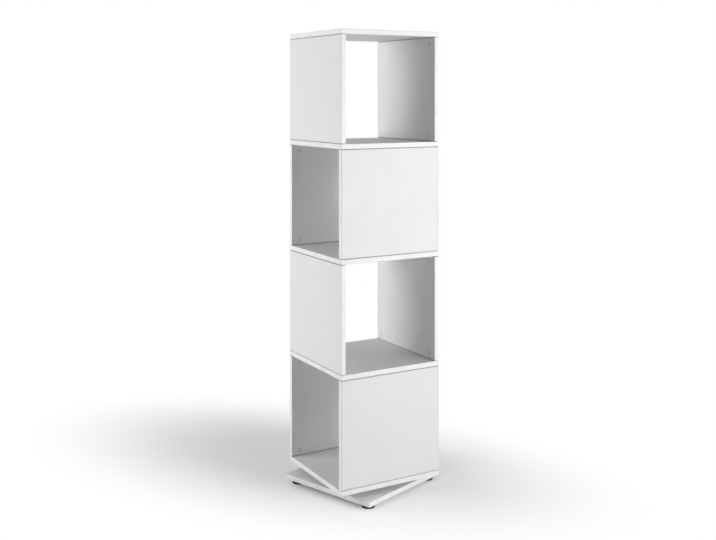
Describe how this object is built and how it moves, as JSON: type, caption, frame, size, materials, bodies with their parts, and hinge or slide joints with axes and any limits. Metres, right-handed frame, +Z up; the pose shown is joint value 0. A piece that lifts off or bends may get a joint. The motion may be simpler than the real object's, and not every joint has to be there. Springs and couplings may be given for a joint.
{
  "type": "rotating shelf unit",
  "caption": "Free-standing square tower of open shelf compartments that turns on a ball bearing ring above a square base plate on round feet.",
  "frame": {"origin": "on the floor, on the axis that the tower turns about", "axes": "+Z up along the turning axis; X and Y along the sides of the tower as it stands in the picture, with -Y towards its right-hand visible face and -X towards its left-hand one"},
  "size_m": [0.434, 0.434, 1.3956],
  "materials": {
    "white_board": "white melamine-faced furniture board with matching edge band, satin",
    "black_plastic": "moulded, fine grain",
    "cast_zinc": "die-cast zinc, dull",
    "plated_steel": "zinc-plated steel",
    "aluminium": "turned aluminium, satin"
  },
  "bodies": {
    "base": {"base_plate": "white_board", "foot_front_left": "black_plastic", "foot_front_right": "black_plastic", "foot_back_right": "black_plastic", "foot_back_left": "black_plastic", "bearing_outer_ring": "aluminium", "base_ring_screw_1": "plated_steel", "base_ring_screw_2": "plated_steel", "base_ring_screw_3": "plated_steel"},
    "ball_cage": {"ball_cage": "plated_steel"},
    "tower": {"bearing_inner_ring": "aluminium", "tower_ring_screw_1": "plated_steel", "tower_ring_screw_2": "plated_steel", "tower_ring_screw_3": "plated_steel", "bottom_board": "white_board", "shelf_1": "white_board", "shelf_2": "white_board", "shelf_3": "white_board", "top_board": "white_board", "side_panel_1_front": "white_board", "side_panel_1_back": "white_board", "side_panel_2_left": "white_board", "side_panel_2_right": "white_board", "side_panel_3_front": "white_board", "side_panel_3_back": "white_board", "side_panel_4_left": "white_board", "side_panel_4_right": "white_board", "cam_fitting_1_front_lower_left": "cast_zinc", "cam_fitting_1_front_lower_right": "cast_zinc", "cam_fitting_1_front_upper_left": "cast_zinc", "cam_fitting_1_front_upper_right": "cast_zinc", "cam_fitting_1_back_lower_left": "cast_zinc", "cam_fitting_1_back_lower_right": "cast_zinc", "cam_fitting_1_back_upper_left": "cast_zinc", "cam_fitting_1_back_upper_right": "cast_zinc", "cam_fitting_2_left_lower_front": "cast_zinc", "cam_fitting_2_left_lower_back": "cast_zinc", "cam_fitting_2_left_upper_front": "cast_zinc", "cam_fitting_2_left_upper_back": "cast_zinc", "cam_fitting_2_right_lower_front": "cast_zinc", "cam_fitting_2_right_lower_back": "cast_zinc", "cam_fitting_2_right_upper_front": "cast_zinc", "cam_fitting_2_right_upper_back": "cast_zinc", "cam_fitting_3_front_lower_left": "cast_zinc", "cam_fitting_3_front_lower_right": "cast_zinc", "cam_fitting_3_front_upper_left": "cast_zinc", "cam_fitting_3_front_upper_right": "cast_zinc", "cam_fitting_3_back_lower_left": "cast_zinc", "cam_fitting_3_back_lower_right": "cast_zinc", "cam_fitting_3_back_upper_left": "cast_zinc", "cam_fitting_3_back_upper_right": "cast_zinc", "cam_fitting_4_left_lower_front": "cast_zinc", "cam_fitting_4_left_lower_back": "cast_zinc", "cam_fitting_4_left_upper_front": "cast_zinc", "cam_fitting_4_left_upper_back": "cast_zinc", "cam_fitting_4_right_lower_front": "cast_zinc", "cam_fitting_4_right_lower_back": "cast_zinc", "cam_fitting_4_right_upper_front": "cast_zinc", "cam_fitting_4_right_upper_back": "cast_zinc"}
  },
  "joints": [
    {"name": "tower_turn", "type": "hinge", "parent": "base", "child": "tower", "pos_m": [0, 0, 0.04063], "axis": [0, 0, 1], "continuous": true},
    {"name": "cage_roll", "type": "hinge", "parent": "base", "child": "ball_cage", "pos_m": [0, 0, 0.03397], "axis": [0, 0, 1], "continuous": true}
  ],
  "couplings": [
    {"joint": "cage_roll", "follows": "tower_turn", "ratio": 0.4837}
  ]
}
